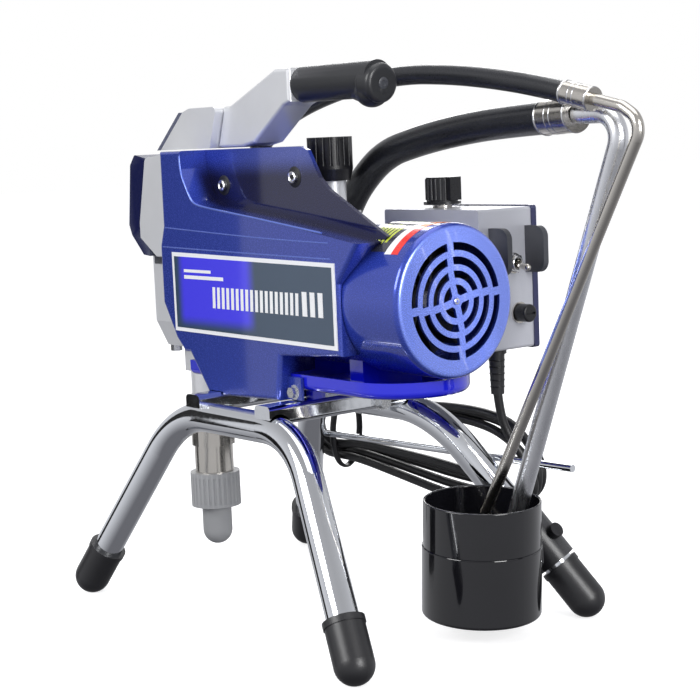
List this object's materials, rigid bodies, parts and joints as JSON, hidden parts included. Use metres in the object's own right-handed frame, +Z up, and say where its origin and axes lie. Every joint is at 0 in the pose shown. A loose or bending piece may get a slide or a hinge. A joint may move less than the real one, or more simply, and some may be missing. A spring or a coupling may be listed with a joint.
{
  "type": "airless paint sprayer",
  "caption": "Electric airless paint sprayer on a chrome tube stand: blue motor and drive, vertical piston pump, carrying handle, control box, suction and drain hoses, drip cup.",
  "frame": {"origin": "on the floor, at the centre of the footprint of the stand and its cup", "axes": "+X along the motor towards the fan, -Y towards the name panel, +Z up"},
  "size_m": [0.5282, 0.2719, 0.451],
  "materials": {
    "aluminium_tube": "satin",
    "black_grip": "soft satin",
    "black_plastic": "satin",
    "black_rubber": "satin",
    "bright_blue": "gloss",
    "carbon": "matte",
    "chrome_tube": "polished",
    "circuit_board": "solder mask",
    "copper_bars": "turned",
    "cord_rubber": "matte",
    "cover_blue": "metallic gloss",
    "dark_grey_plastic": "satin",
    "ferrite": "matte",
    "filter_mesh": "woven",
    "gear_steel": "oiled",
    "gloss_black": "gloss",
    "grey_box": "satin",
    "grey_cap_plastic": "satin",
    "hose_rubber": "smooth",
    "laminations": "stacked sheet",
    "metallic_blue": "metallic gloss",
    "name_plate": "gloss film",
    "navy_paint": "gloss",
    "nickel": "polished",
    "seal": "matte",
    "silver_casting": "satin cast",
    "steel": "machined",
    "zinc_screw": "zinc plated"
  },
  "bodies": {
    "machine": {"base_tray": "bright_blue", "bearings": "steel", "carbon_brushes": "carbon", "control_board": "circuit_board", "control_box": "grey_box", "control_box_back": "navy_paint", "cord_hanger": "chrome_tube", "cord_hank": "cord_rubber", "cup_clamp": "black_plastic", "drain_hose": "hose_rubber", "drain_tube": "nickel", "drain_valve_body": "nickel", "drip_cup": "gloss_black", "fan_cover": "cover_blue", "field_magnets": "ferrite", "filter_element": "filter_mesh", "filter_manifold": "silver_casting", "front_cover": "navy_paint", "front_housing": "silver_casting", "gearbox_housing": "silver_casting", "handle_casting": "silver_casting", "handle_end_plate": "navy_paint", "handle_grip": "black_grip", "hose_fittings": "nickel", "leg_arches": "chrome_tube", "main_shroud": "metallic_blue", "mains_cord": "cord_rubber", "mains_plug": "black_rubber", "motor_can": "metallic_blue", "motor_end_bells": "silver_casting", "name_panel": "name_plate", "pressure_potentiometer": "nickel", "pump_block": "silver_casting", "pump_cylinder": "nickel", "rubber_feet": "black_rubber", "screws_and_bolts": "zinc_screw", "stand_cross_bars": "chrome_tube", "strain_relief": "black_rubber", "suction_hose": "hose_rubber", "suction_tube": "aluminium_tube", "switch_guards": "dark_grey_plastic", "throat_packings": "seal", "toggle_switch": "nickel"},
    "rotor": {"armature_shaft": "gear_steel", "armature_core": "laminations", "commutator": "copper_bars", "cooling_fan": "black_plastic"},
    "idler": {"idler_gear": "gear_steel"},
    "crank": {"crankshaft": "gear_steel"},
    "con_rod": {"connecting_rod": "steel"},
    "pump_rod": {"piston_rod": "steel"},
    "ball": {"intake_ball": "steel"},
    "pressure_dial": {"pressure_knob": "black_plastic"},
    "toggle": {"switch_lever": "nickel"},
    "fuse": {"fuse_cap": "black_plastic"},
    "valve_handle": {"drain_valve_handle": "black_plastic"},
    "strainer_cap": {"filter_cap": "black_plastic"},
    "inlet": {"inlet_nut": "grey_cap_plastic", "transport_cap": "grey_cap_plastic"},
    "clamp_knob": {"clamp_screw": "black_plastic"}
  },
  "joints": [
    {"name": "crank_spin", "type": "hinge", "parent": "machine", "child": "crank", "pos_m": [-0.1236, -0.0085, 0.33], "axis": [1, 0, 0], "continuous": true},
    {"name": "idler_spin", "type": "hinge", "parent": "machine", "child": "idler", "pos_m": [-0.1036, -0.02797, 0.29082], "axis": [1, 0, 0], "continuous": true},
    {"name": "rotor_spin", "type": "hinge", "parent": "machine", "child": "rotor", "pos_m": [0.0364, -0.0085, 0.268], "axis": [1, 0, 0], "continuous": true},
    {"name": "rod_swing", "type": "hinge", "parent": "crank", "child": "con_rod", "pos_m": [-0.1536, -0.0085, 0.34], "axis": [1, 0, 0], "continuous": true},
    {"name": "pump_stroke", "type": "slide", "parent": "machine", "child": "pump_rod", "axis": [0, 0, 1], "range_m": [-0.02, 0]},
    {"name": "intake_ball_lift", "type": "slide", "parent": "machine", "child": "ball", "axis": [0, 0, 1], "range_m": [0, 0.0015]},
    {"name": "pressure_turn", "type": "hinge", "parent": "machine", "child": "pressure_dial", "pos_m": [0.0664, 0.0835, 0.34], "axis": [0, 0, 1], "range_deg": [-270, 0]},
    {"name": "power_toggle", "type": "hinge", "parent": "machine", "child": "toggle", "pos_m": [0.1429, 0.0865, 0.288], "axis": [0, 1, 0], "range_deg": [-18, 0]},
    {"name": "fuse_turn", "type": "hinge", "parent": "machine", "child": "fuse", "pos_m": [0.1464, 0.0925, 0.248], "axis": [1, 0, 0], "range_deg": [-60, 0]},
    {"name": "drain_valve_turn", "type": "hinge", "parent": "machine", "child": "valve_handle", "pos_m": [-0.1649, 0.0615, 0.3682], "axis": [0, 1, 0], "range_deg": [0, 90]},
    {"name": "filter_cap_turn", "type": "hinge", "parent": "machine", "child": "strainer_cap", "pos_m": [-0.0406, 0.0515, 0.37], "axis": [0, 0, 1], "continuous": true},
    {"name": "inlet_nut_turn", "type": "hinge", "parent": "machine", "child": "inlet", "pos_m": [-0.1536, -0.0085, 0.08], "axis": [0, 0, 1], "continuous": true},
    {"name": "clamp_screw_turn", "type": "hinge", "parent": "machine", "child": "clamp_knob", "pos_m": [0.16397, 0.10129, 0.06858], "axis": [0.8202, 0, 0.5721], "continuous": true}
  ],
  "couplings": [
    {"joint": "idler_spin", "follows": "crank_spin", "ratio": -4},
    {"joint": "rotor_spin", "follows": "crank_spin", "ratio": 16},
    {"joint": "rod_swing", "follows": "crank_spin", "ratio": -1}
  ]
}
